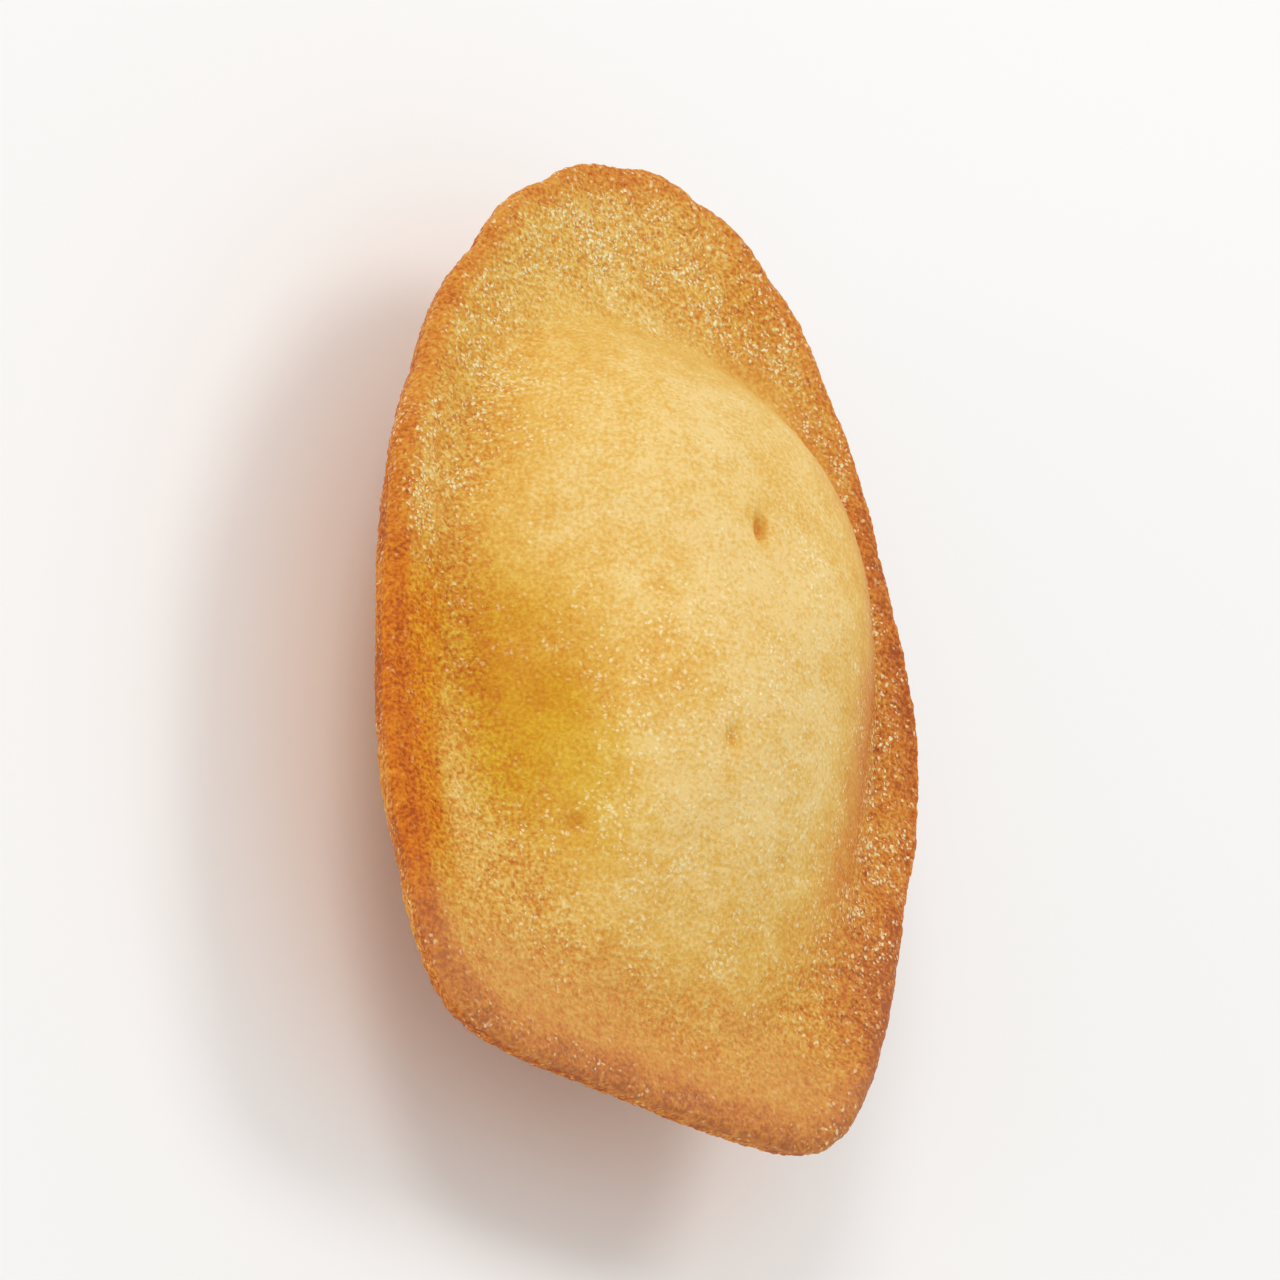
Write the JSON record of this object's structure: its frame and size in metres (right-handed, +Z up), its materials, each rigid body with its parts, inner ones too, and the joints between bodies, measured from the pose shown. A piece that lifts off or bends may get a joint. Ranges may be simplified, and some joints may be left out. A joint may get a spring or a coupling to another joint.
{
  "type": "madeleine cake",
  "caption": "Sponge cake in the form of a scallop shell, with a domed side, a browned rim and a ribbed underside.",
  "frame": {"origin": "centre of the bottom of the cake's box, on the surface it lies on", "axes": "+Y along the cake from the blunt hinge end to the wide fan end, +X across it, +Z up through the hump"},
  "size_m": [0.0488, 0.0762, 0.0237],
  "materials": {
    "golden_sponge": "baked sponge crust, pale golden yellow on the hump, golden brown on the rim and the shell side, with a fine crumb and a slight oily shine"
  },
  "bodies": {
    "root": {"madeleine": "golden_sponge"}
  },
  "joints": []
}
